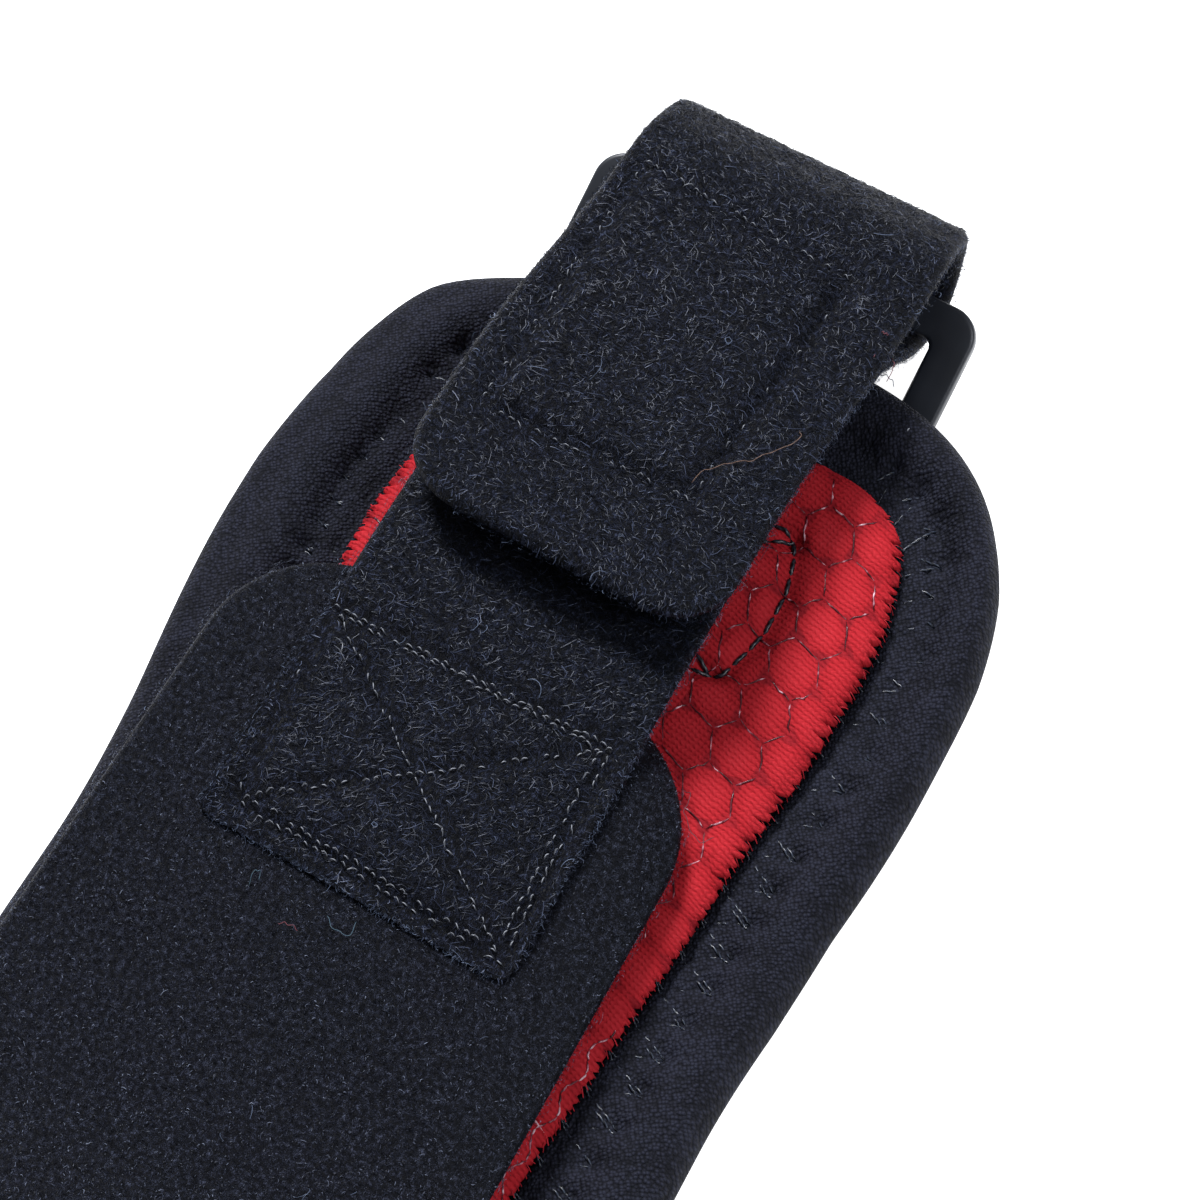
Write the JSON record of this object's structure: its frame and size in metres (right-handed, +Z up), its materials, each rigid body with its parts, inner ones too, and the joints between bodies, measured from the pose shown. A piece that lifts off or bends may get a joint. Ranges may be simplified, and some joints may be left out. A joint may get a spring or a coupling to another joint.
{
  "type": "patellar strap",
  "caption": "Padded knee strap lying closed and flattened: black padded band with a red lining, a thin wing, a loop-pile strap through a rectangular ring and folded back on a hook patch.",
  "frame": {"origin": "middle of the underside of the bounding box, on the surface that the strap lies on", "axes": "+X along the flattened band towards the ring, +Y across the band, +Z up from the surface to the folded strap"},
  "size_m": [0.2092, 0.0832, 0.034],
  "materials": {
    "pad_body": "fine black polyester knit laminated on foam, matt",
    "lining": "red knitted lining with a net of hexagons in a darker thread",
    "wing": "short black velour pile, raw edge",
    "strap": "black loop-pile fastening tape",
    "hook_patch": "black nylon hook tape",
    "ring": "black moulded acetal, faint sheen on the rounded edges",
    "ring_loop": "black woven webbing"
  },
  "bodies": {
    "root": {"pad_body": "pad_body", "lining": "lining", "wing": "wing", "strap": "strap", "hook_patch": "hook_patch", "ring": "ring", "ring_loop": "ring_loop"}
  },
  "joints": []
}
